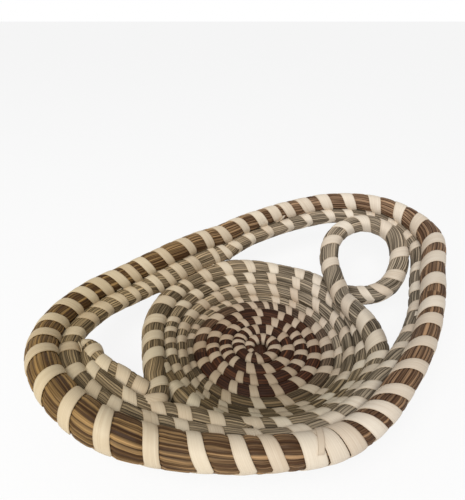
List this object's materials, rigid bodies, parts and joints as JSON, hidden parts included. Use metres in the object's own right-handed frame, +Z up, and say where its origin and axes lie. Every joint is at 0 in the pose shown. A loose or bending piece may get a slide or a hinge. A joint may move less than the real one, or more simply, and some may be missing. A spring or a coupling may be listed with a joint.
{
  "type": "coiled sweetgrass tray basket",
  "caption": "Low coiled grass bowl with a spiral base, a looped edge row and a wide free-form rim that leaves two grip openings.",
  "frame": {"origin": "centre of the flat underside of the start knot, at the middle of the base, on the surface the basket stands on", "axes": "+Z up out of the bowl, +X to the right and +Y away from someone who looks at the basket from its low front side, with the ring at the far right"},
  "size_m": [0.2966, 0.2644, 0.0689],
  "materials": {
    "pine_needle": "dried longleaf pine needle, dull dark reddish brown",
    "sweetgrass": "dried sweetgrass, dull grey green to straw",
    "bulrush": "dried bulrush, brown with dark and tan streaks",
    "palmetto": "split palmetto leaf, pale cream with a soft sheen"
  },
  "bodies": {
    "root": {"start_knot": "pine_needle", "base_coil": "pine_needle", "wall_coil": "sweetgrass", "bowl_edge_row": "sweetgrass", "handle_row": "sweetgrass", "inner_rim_row": "sweetgrass", "outer_rim_row": "bulrush", "rim_lacing": "palmetto", "rim_end_wrap": "palmetto"}
  },
  "joints": []
}
